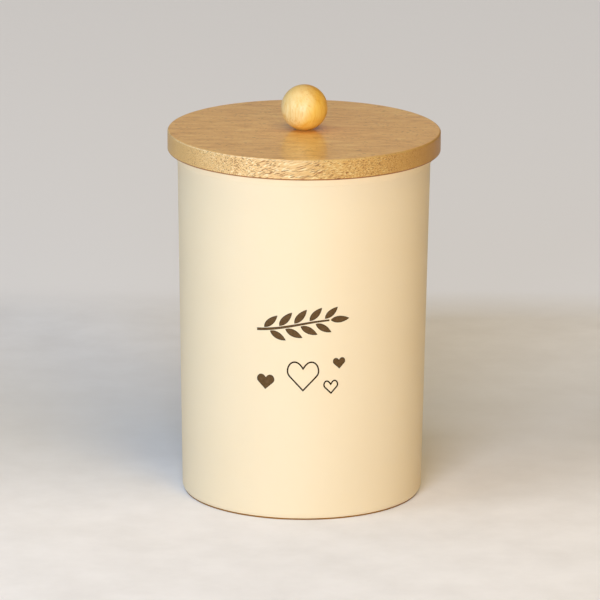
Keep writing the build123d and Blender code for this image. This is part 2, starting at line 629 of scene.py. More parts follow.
    def _side_wood(self, graph: Graph, along: Socket, tone: Socket, end: Socket, lean: Socket) -> Socket:
        """Colours a turned side: mostly one tone, with sparse dark and pale flecks, and its rims paled by
        wear and a painted highlight.

        Args:
            graph: The node tree.
            along: The vector along the fibres.
            tone: The wood's own tone, about 0.
            end: How squarely the face cuts the fibres.
            lean: How far the face lies level, from 0 to 1.

        Returns:
            The colour's socket.
        """
        side = self.side
        across = graph.math("POWER", end, 2.0)
        fade = graph.spread(across, 0.0, 1.0, side.flecks, side.flecks * side.flecks_kept_across)
        fleck = graph.times(graph.minus(graph.streaks(along, side.grain), 0.5), fade)
        value = graph.plus(fleck, graph.times(tone, side.tone_share))
        wood = graph.steps(
            graph.spread(value, -0.22, 0.22),
            [(0.0, side.deep), (0.3, side.mid), (0.68, side.mid), (1.0, side.pale)],
        )
        # Painted highlight as well as wear: the eased rims, upper and lower, blend towards a pale colour.
        tilted = graph.spread(lean, 0.12, 0.35, 0.0, side.rim_wear_and_highlight_share)
        wear_and_highlight = graph.times(tilted, graph.spread(lean, 0.8, 0.95, 1.0, 0.0))
        return graph.blend(wear_and_highlight, wood, side.rim_wear_and_highlight)

    def _painted_lower_rim_shade(self, graph: Graph, upright: Socket) -> Socket:
        """Finds a board's eased lower rim, which takes painted shade: it looks down, but not straight down as
        the underside does.
        """
        down = graph.spread(upright, -0.3, -0.05, 1.0, 0.0)
        return graph.times(down, graph.spread(upright, -0.95, -0.75))

    def _heartwood_and_shade(self, graph: Graph, sway: Socket) -> Socket:
        """Finds how far a place lies in the tint: heartwood on the knob, painted shade on a board's side.

        Args:
            graph: The node tree.
            sway: The slow noise that bends the grain.

        Returns:
            The share's socket.
        """
        inward = graph.vectors("DOT_PRODUCT", graph.own("Object"), self.heartwood_and_shade_way).outputs["Value"]
        inward = graph.plus(inward, graph.times(sway, self.heartwood_and_shade_sway))
        return graph.spread(inward, self.heartwood_and_shade_edge - self.heartwood_and_shade_blend, self.heartwood_and_shade_edge + self.heartwood_and_shade_blend)

    def _end_grain(self, graph: Graph) -> Socket:
        """Measures how squarely a face cuts the fibres.

        Args:
            graph: The node tree.

        Returns:
            The share's socket: 0 along the fibres, 1 across them.
        """
        turned = Euler([math.radians(angle) for angle in self.turn]).to_matrix()
        fibre = tuple(turned.transposed() @ Vector((1.0, 0.0, 0.0)))
        across = graph.vectors("DOT_PRODUCT", graph.own("Normal"), fibre).outputs["Value"]
        return graph.math("POWER", graph.math("ABSOLUTE", across), 1.6, clamp=True)


@dataclass(frozen=True)
class Ink:
    """Baked brown print: lighter in the middle of a shape than along its edge."""

    name: str
    core: Colour
    rim: Colour
    mottle_scale: float = 900.0
    mottle_depth: float = 0.01 * MM
    roughness: float = 0.5
    specular: float = 0.08

    def material(self) -> bpy.types.Material:
        """Returns the finish as a material."""
        graph = Graph(self.name)
        inside = graph.node("Attribute", {"attribute_name": "inside"}).outputs["Fac"]
        mottle = graph.noise(graph.place(), self.mottle_scale, 3.0, 0.6)
        share = graph.times(graph.spread(inside, 0.4, 1.0), graph.spread(mottle, *NOISE_SPAN, 0.6))
        return graph.skin(
            Base_Color=graph.blend(share, self.rim, self.core),
            Roughness=self.roughness,
            Normal=graph.bump(mottle, self.mottle_depth),
            Specular_IOR_Level=self.specular,
        )


@dataclass(frozen=True)
class Silicone:
    """Soft white silicone that lets some light through."""

    name: str
    colour: Colour
    shade: Colour
    haze_scale: float = 240.0
    grain_scale: float = 1800.0
    grain_depth: float = 0.01 * MM
    glow_share: float = 0.35
    glow_reach: float = 1.5 * MM

    def material(self) -> bpy.types.Material:
        """Returns the finish as a material."""
        graph = Graph(self.name)
        haze = graph.noise(graph.place(), self.haze_scale, 3.0)
        return graph.skin(
            Base_Color=graph.blend(graph.spread(haze, *NOISE_SPAN, 0.0, 0.5), self.colour, self.shade),
            Roughness=graph.spread(haze, *NOISE_SPAN, 0.34, 0.5),
            Normal=graph.bump(graph.noise(graph.place(), self.grain_scale), self.grain_depth),
            Subsurface_Weight=self.glow_share,
            Subsurface_Scale=self.glow_reach,
        )


@dataclass(frozen=True)
class ZincPlate:
    """Bright zinc plate with fine turning marks round the axis."""

    name: str
    colour: Colour
    shade: Colour
    cloud_scale: float = 900.0
    mark_scale: float = 1600.0
    mark_depth: float = 0.008 * MM

    def material(self) -> bpy.types.Material:
        """Returns the finish as a material."""
        graph = Graph(self.name)
        where = graph.place()
        cloud = graph.noise(where, self.cloud_scale, 3.0)
        rings = {"wave_type": "RINGS", "rings_direction": "Z"}
        marks = graph.node("TexWave", rings, Vector=where, Scale=self.mark_scale, Distortion=1.5, Detail=2.0)
        return graph.skin(
            Base_Color=graph.blend(graph.spread(cloud, *NOISE_SPAN, 0.0, 0.4), self.colour, self.shade),
            Roughness=graph.spread(cloud, *NOISE_SPAN, 0.22, 0.36),
            Metallic=1.0,
            Normal=graph.bump(marks.outputs["Fac"], self.mark_depth),
        )


@dataclass(frozen=True)
class StageSurface:
    """The pale table, with faint trowel mottling and painted light and shade from front to back, and the
    plain grey behind it, which glows as painted light, dimmer higher up.
    """

    name: str
    # front, middle and back paint the table's light and shade from front to back.
    front: Colour
    middle: Colour
    back: Colour
    # far is the colour that the backdrop glows with, as painted light.
    far: Colour
    mottled: Colour
    unlit: Colour
    depths: Point = (-0.04, 0.26)
    glow: float = 0.72
    high_share: float = 0.65
    glow_heights: Point = (0.05, 0.5)
    glow_width: Point = (0.32, 0.6)
    edge: float = 0.315
    edge_blur: float = 0.03
    mottle_scale: float = 35.0
    speck_scale: float = 420.0
    relief: float = 0.5 * MM
    roughness: float = 0.75
    specular: float = 0.1

    def material(self) -> bpy.types.Material:
        """Returns the finish as a material."""
        graph = Graph(self.name)
        where = graph.place()
        axes = graph.node("SeparateXYZ", Vector=where).outputs
        behind = graph.spread(axes["Y"], self.edge - self.edge_blur, self.edge + self.edge_blur)
        beside = graph.spread(graph.math("ABSOLUTE", axes["X"]), *self.glow_width, 1.0, 0.0)
        behind = graph.times(behind, beside)
        # Painted light and shade: the table's colour steps from a bright front through a darker middle band
        # to a paler back.
        table = graph.steps(
            graph.spread(axes["Y"], *self.depths),
            [(0.0, self.front), (0.4, self.middle), (0.57, self.middle), (1.0, self.back)],
        )
        mottle = graph.noise(where, self.mottle_scale, 4.0, 0.6)
        speck = graph.noise(where, self.speck_scale, 2.0, 0.6)
        table = graph.blend(graph.spread(mottle, 0.35, 0.7, 0.0, 0.2), table, self.mottled)
        # Painted light: the backdrop glows, brightest low down and fading out to the sides, and lights the
        # object from behind.
        glow = graph.spread(axes["Z"], *self.glow_heights, self.glow, self.glow * self.high_share)
        return graph.skin(
            Base_Color=graph.blend(behind, table, self.unlit),
            Roughness=self.roughness,
            Normal=graph.bump(graph.plus(mottle, graph.times(speck, 0.25)), self.relief, 0.4),
            Specular_IOR_Level=self.specular,
            Emission_Color=self.far,
            Emission_Strength=graph.times(behind, glow),
        )


CREAM = PowderCoat("cream_powder_coat", srgb(238, 219, 185), srgb(235, 214, 177))
BOARD_WOOD = LacqueredWood(
    "lid_board_wood",
    pale=srgb(254, 214, 132),
    mid=srgb(242, 189, 107),
    deep=srgb(211, 154, 77),
    pore=srgb(122, 80, 34),
    end_tint=srgb(222, 207, 172),
    # The side's tones differ from the top's partly as painted light.
    side=TurnedSide(
        pale=srgb(254, 240, 200),
        mid=srgb(236, 197, 136),
        deep=srgb(162, 102, 42),
        rim_wear_and_highlight=srgb(252, 230, 184),
        lower_rim_shade_tint=srgb(172, 118, 46),
    ),
    # On the board's side this tint is painted shade, darkening the edge towards +X.
    heartwood_and_shade_tint=(0.76, 0.67, 0.46, 1.0),
    heartwood_and_shade_edge=-6.0 * MM,
    heartwood_and_shade_blend=16.0 * MM,
)
KNOB_WOOD = LacqueredWood(
    "knob_wood",
    pale=srgb(254, 230, 172),
    mid=srgb(252, 222, 157),
    deep=srgb(243, 204, 127),
    pore=srgb(206, 146, 70),
    end_tint=srgb(236, 221, 185),
    turn=(84.0, 28.0, 90.0),
    pore_share=0.4,
    heartwood_and_shade_tint=(1.0, 0.84, 0.37, 1.0),
    heartwood_and_shade_way=(0.8, 0.42, -0.43),
    heartwood_and_shade_edge=-74.6 * MM,
    figure=1.6,
    roughness=0.4,
    coat=0.3,
    coat_roughness=0.26,
    specular=0.2,
)
BROWN_INK = Ink("brown_print", core=srgb(106, 80, 50), rim=srgb(46, 28, 0))
# Painted shadow: the brown of the bead at the can's foot stands for the shade under the wall's edge.
FOOT_SHADOW_INK = Ink("foot_shadow_ink", core=srgb(160, 108, 20), rim=srgb(148, 98, 6))
WHITE_SILICONE = Silicone("white_silicone", srgb(232, 231, 224), srgb(214, 213, 206))
SCREW_ZINC = ZincPlate("bright_zinc", srgb(206, 208, 206), srgb(196, 198, 190))
STAGE = StageSurface(
    "pale_table",
    front=srgb(235, 231, 229),
    middle=srgb(208, 206, 204),
    back=srgb(228, 225, 223),
    far=srgb(212, 208, 205),
    mottled=srgb(190, 184, 178),
    unlit=srgb(128, 126, 124),
)


def dress(
    piece: Piece, material: bpy.types.Material, body: Body, stands_for: str | None = None
) -> None:
    """Gives a piece its finish and body, hides the CAD node that it replaces, and reports it.

    Args:
        piece: The finished piece.
        material: Its material.
        body: The rigid body that it rides on.
        stands_for: The CAD node that it replaces, if any.
    """
    piece.data.materials.clear()
    piece.data.materials.append(material)
    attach(piece, body.value)
    if stands_for:
        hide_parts(stands_for)
    log.info("%s: %d faces, on %s", piece.name, len(piece.data.polygons), body.value)


@dataclass
class Can:
    """The steel can: rolled wall with a hemmed rim, and the pressed base pan let into its foot."""

    foot_radius: float = 52.2 * MM
    rim_radius: float = 54.7 * MM
    height: float = 151.5 * MM
    sheet: float = 0.5 * MM
    lift: float = 0.4 * MM
    hem_height: float = 3.4 * MM
    hem_gap: float = 0.12 * MM
    crest_share: float = 0.49
    hem_edge_share: float = 0.4
    foot_edge_share: float = 0.3
    pan_sheet: float = 0.6 * MM
    pan_fit: float = 0.05 * MM
    flange_top: float = 8.0 * MM
    foot_corner: float = 3.0 * MM
    foot_width: float = 5.6 * MM
    panel_rise: float = 1.8 * MM
    panel_step: float = 1.6 * MM
    panel_bend: float = 0.5 * MM
    weld_height: float = 0.06 * MM
    weld_half_width: float = 0.4 * MM
    # The brown bead at the foot, which paints the shadow line under the wall's edge.
    shadow_bead_clearance: float = 0.08 * MM
    shadow_bead_top: float = 0.75 * MM
    shadow_bead_cover: float = 0.03 * MM
    shadow_bead_sink: float = 0.02 * MM

    def outside(self, height: float) -> float:
        """Returns the wall's outside radius at a height."""
        return self.foot_radius + (self.rim_radius - self.foot_radius) * height / self.height

    def inside(self, height: float) -> float:
        """Returns the wall's inside radius at a height."""
        return self.outside(height) - self.sheet

    def build(self) -> None:
        """Makes and dresses the wall, the pan and the brown bead between them, which paints the shadow line
        at the foot.
        """
        paint = CREAM.material()
        dress(self.wall(), paint, Body.CAN, "canister_wall")
        dress(self.base(), paint, Body.CAN, "canister_base")
        dress(self.shadow_bead(), FOOT_SHADOW_INK.material(), Body.CAN)

    def round_the_corner(self, start: float, end: float, distance: float, steps: int = 8) -> list[Point]:
        """Follows the bend of the foot's corner at a distance from the pan's outside face.

        Args:
            start: The height that it starts at.
            end: The height that it ends at.
            distance: How far outside the pan's face it lies.
            steps: How many segments it has.

        Returns:
            Its points as radius and height.
        """
        slope = (self.rim_radius - self.foot_radius) / self.height
        middle = self.inside(self.foot_corner) - self.pan_fit - self.foot_corner * math.hypot(1.0, slope)
        bend = self.foot_corner + distance
        first, last = (math.asin((height - self.foot_corner) / bend) for height in (start, end))
        turns = [first + (last - first) * number / steps for number in range(steps + 1)]
        return [(middle + bend * math.cos(turn), self.foot_corner + bend * math.sin(turn)) for turn in turns]

    def wall(self) -> Piece:
        """Turns the wall with its turned-in foot and its hem, and raises the weld line at the back.

        Returns:
            The wall.
        """
        fold = self.height - self.sheet
        slit = self.outside(fold)
        hem = slit + self.hem_gap + self.sheet
        hem_foot = self.height - self.hem_height
        reach = self.pan_fit + self.sheet
        share = (self.foot_corner + self.pan_fit) / (self.foot_corner + reach)
        inner_lift = self.foot_corner - (self.foot_corner - self.lift) * share
        outer_foot = self.round_the_corner(self.lift, self.foot_corner, reach)
        inner_foot = self.round_the_corner(inner_lift, self.foot_corner, self.pan_fit)
        crest_out = (hem, self.height)
        crest_in = (slit - self.sheet, self.height)
        hem_edge = (hem, hem_foot)
        turned = Turning(
            "wall_skin",
            [
                inner_foot[0],
                *outer_foot,
                (slit, fold),
                (slit + self.hem_gap, fold),
                (slit + self.hem_gap, hem_foot),
                hem_edge,
                crest_out,
                crest_in,
                *inner_foot[:0:-1],
            ],
        )
        turned.ease((self.hem_gap + 2 * self.sheet) * self.crest_share, 7, crest_out, crest_in)
        turned.ease(self.sheet * self.hem_edge_share, 3, hem_edge)
        turned.ease(self.sheet * self.foot_edge_share, 3, outer_foot[0], inner_foot[0])
        turned.select(lambda place: abs(place.x) < self.weld_half_width and place.y > 0)
        bpy.ops.transform.translate(value=(0.0, self.weld_height, 0.0))
        return turned.finished()

    def base(self) -> Piece:
        """Turns the base pan, from the top of its flange to its raised panel.

        Returns:
            The base pan.
        """
        flange_foot = self.inside(0.0) - self.pan_fit
        flange_head = self.inside(self.flange_top) - self.pan_fit
        foot_inside = flange_foot - self.foot_width
        panel_start = foot_inside - self.panel_step
        slope = math.atan2(self.panel_rise, self.panel_step)
        shift = self.pan_sheet * math.tan(slope / 2)
        outer_corner = (flange_foot, 0.0)
        inner_corner = (flange_foot - self.pan_sheet, self.pan_sheet)
        bends = [
            (panel_start, self.panel_rise),
            (foot_inside, 0.0),
            (panel_start + shift, self.panel_rise + self.pan_sheet),
            (foot_inside + shift, self.pan_sheet),
        ]
        turned = Turning(
            "base_pan",
            [
                (0.0, self.panel_rise + self.pan_sheet),
                bends[2],
                bends[3],
                inner_corner,
                (flange_head - self.pan_sheet, self.flange_top),
                (flange_head, self.flange_top),
                outer_corner,
                bends[1],
                bends[0],
                (0.0, self.panel_rise),
            ],
        )
        turned.ease(self.foot_corner, 8, outer_corner)
        turned.ease(self.foot_corner - self.pan_sheet, 6, inner_corner)
        turned.ease(self.panel_bend, 4, *bends)
        return turned.finished()

    def shadow_bead(self) -> Piece:
        """Turns a brown bead between the pan and the wall's edge, which it laps over: painted shadow, the
        dark line of shade under the wall's edge.

        Returns:
            The bead.
        """
        reach = self.pan_fit + self.sheet
        on_wall = self.round_the_corner(self.lift, self.shadow_bead_top, reach, 4)
        outside = self.round_the_corner(self.lift, self.shadow_bead_top, reach + self.shadow_bead_cover, 4)
        on_pan = self.round_the_corner(self.shadow_bead_clearance, self.lift, self.shadow_bead_sink, 4)
        low = (outside[0][0], self.shadow_bead_clearance)
        return Turning("foot_shadow_bead", [low, *outside, *on_wall[::-1], *on_pan[::-1]]).finished()


@dataclass
class Lid:
    """The wooden lid: board, plug with its seal, and the ball knob held by a screw and washer."""

    underside: float = 151.7 * MM
    board_radius: float = 59.0 * MM
    board_thickness: float = 9.0 * MM
    easing: float = 0.8 * MM
    plug_radius: float = 51.671 * MM
    plug_thickness: float = 8.0 * MM
    plug_lead_in: float = 0.8 * MM
    groove_land: float = 1.4 * MM
    groove_depth: float = 2.0 * MM
    groove_height: float = 4.8 * MM
    groove_easing: float = 0.2 * MM
    seal_play: float = 0.1 * MM
    seal_band: float = 1.5 * MM
    seal_reach: float = 53.796 * MM
    seal_fins: int = 3
    fin_root: float = 1.1 * MM
    fin_tip: float = 0.5 * MM
    fin_round_share: float = 0.45
    hole_radius: float = 2.1 * MM
    counterbore_radius: float = 5.0 * MM
    counterbore_depth: float = 3.5 * MM
    counterbore_easing: float = 0.25 * MM
    knob_radius: float = 10.0 * MM
    knob_flat: float = 3.0 * MM  # sets how deep the ball sits
    flat_margin: float = 0.2 * MM
    pilot_radius: float = 1.35 * MM
    pilot_depth: float = 12.5 * MM
    washer_radius: float = 4.5 * MM
    washer_hole: float = 2.0 * MM
    washer_thickness: float = 0.8 * MM
    washer_easing: float = 0.2 * MM
    washer_hole_easing: float = 0.15 * MM
    screw_length: float = 25.0 * MM
    screw_point: float = 3.0 * MM
    shank_radius: float = 1.75 * MM
    core_radius: float = 1.3 * MM
    head_radius: float = 3.5 * MM
    head_height: float = 2.4 * MM
    head_edge: float = 0.7 * MM
    head_easing: float = 0.4 * MM
    head_curve: tuple[Point, ...] = ((0.0, 0.0), (0.55, 0.10), (0.85, 0.36))
    thread_start: float = 0.8 * MM
    thread_pitch: float = 1.35 * MM
    thread_depth: float = 0.4 * MM
    thread_steps: int = 32
    recess_width: float = 0.9 * MM
    recess_reach: float = 1.9 * MM
    recess_depth: float = 1.5 * MM

    @property
    def top(self) -> float:
        """Height of the board's top face."""
        return self.underside + self.board_thickness

    @property
    def plug_foot(self) -> float:
        """Height of the plug's lower face."""
        return self.underside - self.plug_thickness

    @property
    def washer_seat(self) -> float:
        """Height of the counterbore's bottom, where the washer bears."""
        return self.plug_foot + self.counterbore_depth

    def build(self) -> None:
        """Makes and dresses every piece of the lid."""
        board_wood = BOARD_WOOD.material()
        zinc = SCREW_ZINC.material()
        dress(self.board(), board_wood, Body.LID, "lid_board")
        dress(self.plug(), board_wood, Body.LID, "lid_plug")
        dress(self.seal(), WHITE_SILICONE.material(), Body.LID, "seal_ring")
        dress(self.knob(), KNOB_WOOD.material(), Body.LID, "knob")
        dress(self.screw(), zinc, Body.LID, "knob_screw")
        dress(self.washer(), zinc, Body.LID, "screw_washer")

    def board(self) -> Piece:
        """Turns the board that shows, and eases its rims.

        Returns:
            The board.
        """
        upper = (self.board_radius, self.top)
        lower = (self.board_radius, self.underside)
        turned = Turning(
            "turned_board", [(self.hole_radius, self.underside), lower, upper, (self.hole_radius, self.top)]
        )
        turned.ease(self.easing, 6, upper, lower)
        return turned.finished()

    def plug(self) -> Piece:
        """Turns the plug with the seal's groove and the screw's counterbore.

        Returns:
            The plug.
        """
        groove_radius = self.plug_radius - self.groove_depth
        groove_foot = self.plug_foot + self.groove_land
        groove_head = groove_foot + self.groove_height
        lead_in = (self.plug_radius, self.plug_foot)
        mouth = (self.counterbore_radius, self.plug_foot)
        turned = Turning(
            "turned_plug",
            [
                (self.hole_radius, self.washer_seat),
                (self.counterbore_radius, self.washer_seat),
                mouth,
                lead_in,
                (self.plug_radius, groove_foot),
                (groove_radius, groove_foot),
                (groove_radius, groove_head),
                (self.plug_radius, groove_head),
                (self.plug_radius, self.underside),
                (self.hole_radius, self.underside),
            ],
        )
        turned.ease(self.plug_lead_in, 3, lead_in)
        turned.ease(self.counterbore_easing, 2, mouth)
        turned.ease(self.groove_easing, 2, (self.plug_radius, groove_foot), (self.plug_radius, groove_head))
        return turned.finished()

    def seal(self) -> Piece:
        """Turns the seal ring: a band with thin fins, each rounded at its tip.

        Returns:
            The seal ring.
        """
        inside = self.plug_radius - self.groove_depth + self.seal_play
        face = inside + self.seal_band
        foot = self.plug_foot + self.groove_land + self.seal_play
        height = self.groove_height - 2 * self.seal_play
        pitch = (height - self.fin_root) / (self.seal_fins - 1)
        corners = [(inside, foot + height), (inside, foot)]
        tips = []
        half_root, half_tip = self.fin_root / 2, self.fin_tip / 2
        for number in range(self.seal_fins):
            middle = foot + half_root + number * pitch
            tips += [(self.seal_reach, middle - half_tip), (self.seal_reach, middle + half_tip)]
            corners += [(face, middle - half_root), *tips[-2:], (face, middle + half_root)]
        turned = Turning("silicone_seal", corners)
        turned.ease(self.fin_tip * self.fin_round_share, 3, *tips)
        return turned.finished(50.0)

    def knob(self) -> Piece:
        """Makes the ball, open at its foot, with a capped tube in the pilot hole's place.

        Known fault: both rings next to the flat's plane are within the bisect's default threshold of
        0.1 mm, so it cuts no ring there. The foot stays open, and the tube's end bands are doubled. All
        of it lies under the ball or inside it.

        Returns:
            The ball knob.
        """
        centre = self.top + math.sqrt(self.knob_radius**2 - self.knob_flat**2)
        deselect_everything()
        bpy.ops.mesh.primitive_uv_sphere_add(
            segments=128, ring_count=96, radius=self.knob_radius, location=(0.0, 0.0, centre)
        )
        piece = bpy.context.object
        piece.name = piece.data.name = "ball_knob"
        settle(piece)
        edit(piece)
        select_mesh()
        flat = (0.0, 0.0, self.top)
        bpy.ops.mesh.bisect(plane_co=flat, plane_no=(0.0, 0.0, 1.0), use_fill=True, clear_inner=True)
        bpy.ops.mesh.inset(thickness=self.flat_margin)
        share = self.pilot_radius / (self.knob_flat - self.flat_margin)
        bpy.ops.mesh.extrude_region_move(TRANSFORM_OT_translate={"value": (0.0, 0.0, 0.0)})
        bpy.ops.transform.resize(value=(share, share, 1.0), center_override=flat)
        bpy.ops.mesh.extrude_region_move(TRANSFORM_OT_translate={"value": (0.0, 0.0, self.pilot_depth)})
        smooth(piece, 40.0)
        return piece

    def screw(self) -> Piece:
        """Turns the screw, winds its thread round the core and cuts the cross recess.

        Returns:
            The screw.
        """
        seat = self.washer_seat - self.washer_thickness
        crown = seat - self.head_height
        tip = seat + self.screw_length
        rim = (self.head_radius, seat - self.head_edge)
        turned = Turning(
            "wood_screw",
            [
                *((self.head_radius * out, crown + self.head_height * up) for out, up in self.head_curve),
                rim,
                (self.head_radius, seat),
                (self.shank_radius, seat),
                (self.shank_radius, self.top - (self.shank_radius - self.core_radius)),
                (self.core_radius, self.top),
                (self.core_radius, tip - self.screw_point),
                (0.0, tip),
            ],
            64,
        )
        turned.ease(self.head_easing, 4, rim)
        piece = turned.finished(40.0)
        self._cut_recess(piece, crown)
        thread = self._thread(tip)
        pick(piece)
        thread.select_set(True)
        bpy.ops.object.join()
        return piece

    def _cut_recess(self, screw: Piece, crown: float) -> None:
        """Cuts the cross recess into the screw's head.

        Args:
            screw: The screw.
            crown: Height of the head's lowest point.
        """
        reach, width = self.recess_reach * 2, self.recess_width
        for size in ((reach, width), (width, reach)):
            deselect_everything()
            bpy.ops.mesh.primitive_cube_add(size=1.0, location=(0.0, 0.0, crown))
            cutter = bpy.context.object
            cutter.scale = (*size, self.recess_depth * 2)
            settle(cutter)
            apply_modifier(screw, "BOOLEAN", operation="DIFFERENCE", object=cutter, solver="EXACT")
            bpy.data.objects.remove(cutter)

    def _thread(self, tip: float) -> Piece:
        """Winds the thread's ridge round the core.

        Args:
            tip: Height of the screw's tip.

        Returns:
            The thread.
        """
        start = (self.core_radius, 0.0, self.top + self.thread_start)
        turns = int((tip - self.screw_point - start[2]) / self.thread_pitch)
        quarter = math.radians(90)
        deselect_everything()
        bpy.ops.mesh.primitive_circle_add(
            vertices=3,
            radius=self.thread_depth,
            fill_type="NOTHING",
            location=start,
            rotation=(quarter, 0.0, 0.0),
        )
        thread = bpy.context.object
        settle(thread)
        edit(thread)
        select_mesh()
        bpy.ops.transform.rotate(value=quarter, orient_axis="Y", center_override=start)
        apply_modifier(
            thread,
            "SCREW",
            angle=math.tau * turns,
            screw_offset=self.thread_pitch * turns,
            steps=self.thread_steps * turns,
            render_steps=self.thread_steps * turns,
            use_normal_calculate=True,
            axis="Z",
        )
        edit(thread)
        bpy.ops.mesh.select_all(action="DESELECT")
        bpy.ops.mesh.select_non_manifold()
        bpy.ops.mesh.fill()
        face_outwards()
        return thread

    def washer(self) -> Piece:
        """Turns the washer and eases its rims.

        Returns:
            The washer.
        """
        hole, rim = self.washer_hole, self.washer_radius
        low, high = self.washer_seat - self.washer_thickness, self.washer_seat
        turned = Turning("flat_washer", [(hole, low), (rim, low), (rim, high), (hole, high)], 96)
        turned.ease(self.washer_easing, 3, (rim, low))
        turned.ease(self.washer_hole_easing, 2, (hole, low))
        return turned.finished()


@dataclass(frozen=True)
class Heart:
    """One heart of the print: its middle and size as seen from the front, and its line if it isn't filled."""

    name: str
    middle: Point
    width: float
    height: float
    line: float | None = None
    tilt_degrees: float = 0.0


@dataclass(frozen=True)
class HeartShape:
    """The hearts' common outline: knots with both handles, in halves of the width, down from the top."""

    depth: float = 1.85
    dip: Knot = ((0.0, -0.37), (-0.10, -0.22), (0.10, -0.22))
    right: tuple[Knot, ...] = (
        ((0.52, 0.0), (0.26, 0.0), (0.79, 0.0)),
        ((1.0, -0.60), (1.0, -0.27), (1.0, -0.82)),
        ((0.80, -1.02), (0.90, -0.90), (0.60, -1.23)),
    )

    def knots(self) -> list[Knot]:
        """Returns the whole outline's knots, from the dip round by the right."""
        left = [
            tuple((-x, y) for x, y in (knot, after, before)) for knot, before, after in reversed(self.right)
        ]
        return [self.dip, *self.right, ((0.0, -self.depth),) * 3, *left]


@dataclass
class Print:
    """The brown ornament on the can's front: a leaf sprig over four hearts."""

    can: Can
    thickness: float = 0.05 * MM
    sink: float = 0.02 * MM
    strip: float = 0.5 * MM
    edge: float = 0.28 * MM
    curve_steps: int = 10
    sprig_middle: Point = (0.1 * MM, 87.0 * MM)
    sprig_half_length: float = 19.6 * MM
    stem_width: float = 1.2 * MM
    stem_taper: float = 0.35
    stem_rise: float = 2.4 * MM
    stem_bend: float = 2.6
    stem_steps: int = 10
    stem_handle: float = 1.0 * MM
    leaf_pairs: int = 5
    leaf_length: float = 8.4 * MM
    leaf_width: float = 3.3 * MM
    leaf_angle: float = 38.0
    leaf_gap: float = 0.25 * MM
    leaf_belly: float = 0.66
    root_handles: Point = (0.25, 0.22)
    tip_handles: Point = (0.35, 0.32)
    tip_belly: float = 0.9
    leaf_places: Point = (0.10, 0.94)
    leaf_stagger: float = 0.075
    longest_place: float = 0.4
    shortening: float = 0.22
    end_leaf_start: float = 0.5 * MM
    end_leaf_size: float = 0.95
    heart_shape: HeartShape = HeartShape()
    hearts: tuple[Heart, ...] = (
        Heart("heart_left", (-15.75 * MM, 61.56 * MM), 7.4 * MM, 6.6 * MM, tilt_degrees=-2.0),
        Heart("heart_large", (0.21 * MM, 64.54 * MM), 13.9 * MM, 13.4 * MM, line=0.65 * MM),
        Heart("heart_upper_right", (15.58 * MM, 70.05 * MM), 5.2 * MM, 4.9 * MM, tilt_degrees=3.0),
        Heart(
            "heart_lower_right",
            (12.11 * MM, 59.57 * MM),
            6.4 * MM,
            6.25 * MM,
            line=0.62 * MM,
            tilt_degrees=2.0,
        ),
    )

    def build(self) -> None:
        """Makes and dresses every shape of the print."""
        ink = BROWN_INK.material()
        for heart in self.hearts:
            dress(self.heart(heart), ink, Body.CAN)
        dress(self.sprig(), ink, Body.CAN)

    def heart(self, heart: Heart) -> Piece:
        """Draws one heart as a flat curve and lays it on the can.

        Args:
            heart: The heart's place and size.

        Returns:
            The printed heart.
        """
        half, unit = heart.width / 2, heart.height / self.heart_shape.depth
        turn = math.radians(heart.tilt_degrees)

        def placed(x: float, y: float) -> Point:
            """Returns a point of the outline at its place on the front."""
            across, up = x * half, (y + self.heart_shape.depth / 2) * unit
            return (
                heart.middle[0] + across * math.cos(turn) - up * math.sin(turn),
                heart.middle[1] + across * math.sin(turn) + up * math.cos(turn),
            )

        outline = [[placed(x, y) for x, y in knot] for knot in self.heart_shape.knots()]
        flat = self._filled(heart.name, [outline])
        if heart.line:
            self._keep_line(heart.line)
        return self._laid_on(flat, pale_core=heart.line is None)

    def sprig(self) -> Piece:
        """Draws the leaf sprig as flat curves and lays it on the can.

        Returns:
            The printed sprig.
        """
        first, last = self.leaf_places
        shapes = [self._stem_outline()]
        for number in range(self.leaf_pairs):
            share = first + (last - first) * number / (self.leaf_pairs - 1)
            size = 1.0 - self.shortening * abs(share - self.longest_place)
            for side, place in ((1.0, share), (-1.0, share + self.leaf_stagger)):
                if place < 1.0:
                    root, along = self._stem(place)
                    shapes.append(self._leaf_outline(root, along, side * self.leaf_angle, size, side))
        root, along = self._stem(1.0)
        root += along * self.end_leaf_start
        shapes.append(self._leaf_outline(root, along, 0.0, self.end_leaf_size, 0.0))
        return self._laid_on(self._filled("leaf_sprig", shapes))

    def _stem(self, share: float) -> tuple[Vector, Vector]:
        """Follows the stem's middle line.

        Args:
            share: How far along the stem, from 0 to 1.

        Returns:
            The place and the direction there.
        """
        length = 2 * self.sprig_half_length - self.leaf_length
        turn = (share - 0.5) * self.stem_bend
        across = self.sprig_middle[0] + (length * share - self.sprig_half_length)
        slope = self.stem_rise * self.stem_bend * math.cos(turn) / length
        place = Vector((across, self.sprig_middle[1] + self.stem_rise * math.sin(turn)))
        return place, Vector((1.0, slope)).normalized()

    def _stem_outline(self) -> list[Knot]:
        """Outlines the tapering stem.

        Returns:
            The knots of a closed spline, each with both of its handles.
        """
        near, far = [], []
        for number in range(self.stem_steps + 1):
            share = number / self.stem_steps
            place, along = self._stem(share)
            out = Vector((-along.y, along.x)) * (self.stem_width / 2) * (1.0 - self.stem_taper * share)
            reach = along * self.stem_handle
            upper, lower = place + out, place - out
            near.append([tuple(upper), tuple(upper - reach), tuple(upper + reach)])
            far.append([tuple(lower), tuple(lower + reach), tuple(lower - reach)])
        for end in (near[0], far[-1]):
            end[1] = end[0]
        for end in (near[-1], far[0]):
            end[2] = end[0]
        return near + far[::-1]

